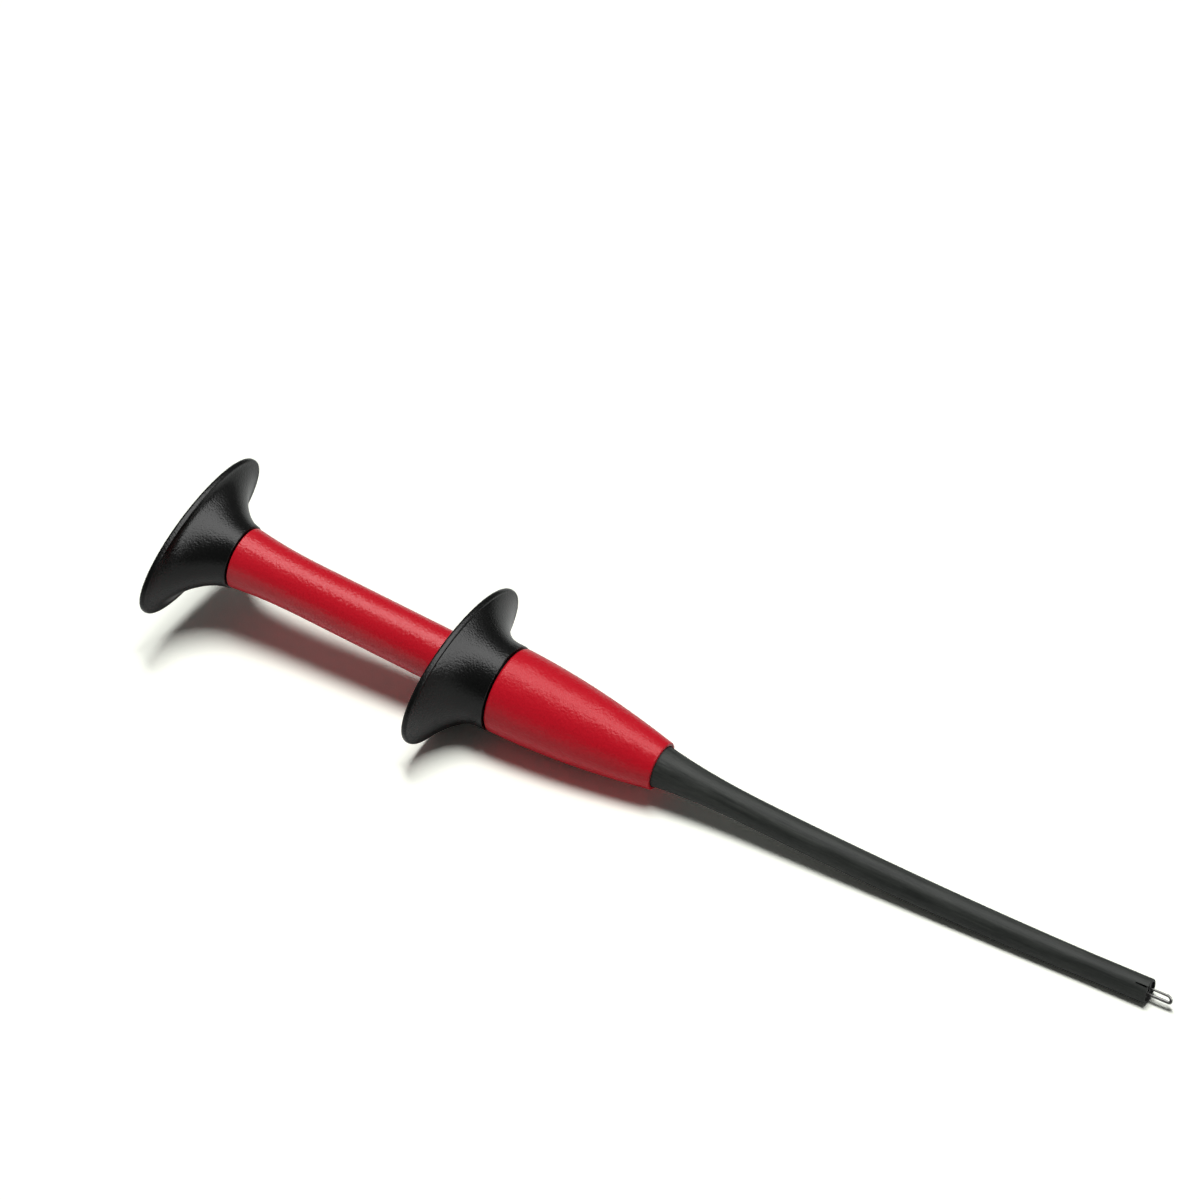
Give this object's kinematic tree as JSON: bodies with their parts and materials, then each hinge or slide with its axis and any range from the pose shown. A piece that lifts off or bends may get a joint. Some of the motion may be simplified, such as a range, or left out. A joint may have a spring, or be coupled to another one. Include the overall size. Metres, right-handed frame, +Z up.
{
  "type": "oscilloscope probe",
  "caption": "Plunger hook-clip test probe with an oval thumb button, an oval finger flange, a tapered body and a flexible shaft that ends in a retracting hook.",
  "frame": {"origin": "On the table, under the middle of the whole, as the probe lies at rest on its finger flange's lower rim and on the end of its shaft.", "axes": "+X runs along the probe to the hook, +Z is up, and the handle leans down toward +X by about 6 degrees."},
  "size_m": [0.2321, 0.0432, 0.0313],
  "materials": {
    "button_black": "satin",
    "plunger_red": "satin",
    "insulator_black": "satin",
    "bearing_ivory": "satin",
    "brass_plated": "turned",
    "spring_steel": "drawn",
    "flange_black": "satin",
    "body_red": "satin",
    "jacket_rubber": "matt",
    "hook_nickel": "bright"
  },
  "bodies": {
    "handle": {"finger_flange": "flange_black", "guide_bush": "bearing_ivory", "guide_key": "spring_steel", "body_shell": "body_red", "spring_seat": "spring_steel", "return_spring": "spring_steel", "nose_anchor": "brass_plated", "flexible_shaft": "jacket_rubber", "shaft_liner": "bearing_ivory", "push_wire": "spring_steel", "tip_sleeve": "insulator_black", "tip_bush": "insulator_black"},
    "plunger": {"thumb_button": "button_black", "socket_insulator": "insulator_black", "contact_socket": "brass_plated", "contact_clip": "spring_steel", "plunger_tube": "plunger_red", "push_rod": "spring_steel", "plunger_guide": "bearing_ivory", "wire_coupling": "brass_plated"},
    "hook_clip": {"hook": "hook_nickel", "hook_ferrule": "brass_plated"}
  },
  "joints": [
    {"name": "plunger_slide", "type": "slide", "parent": "handle", "child": "plunger", "axis": [0.9952, 0, -0.0979], "range_m": [0, 0.008], "stiffness_N_per_m": 350, "springref_m": -0.006, "deforming": ["return_spring"]},
    {"name": "hook_slide", "type": "slide", "parent": "handle", "child": "hook_clip", "axis": [1, 0, 0], "range_m": [0, 0.008]}
  ],
  "couplings": [
    {"joint": "hook_slide", "follows": "plunger_slide", "ratio": 1}
  ]
}
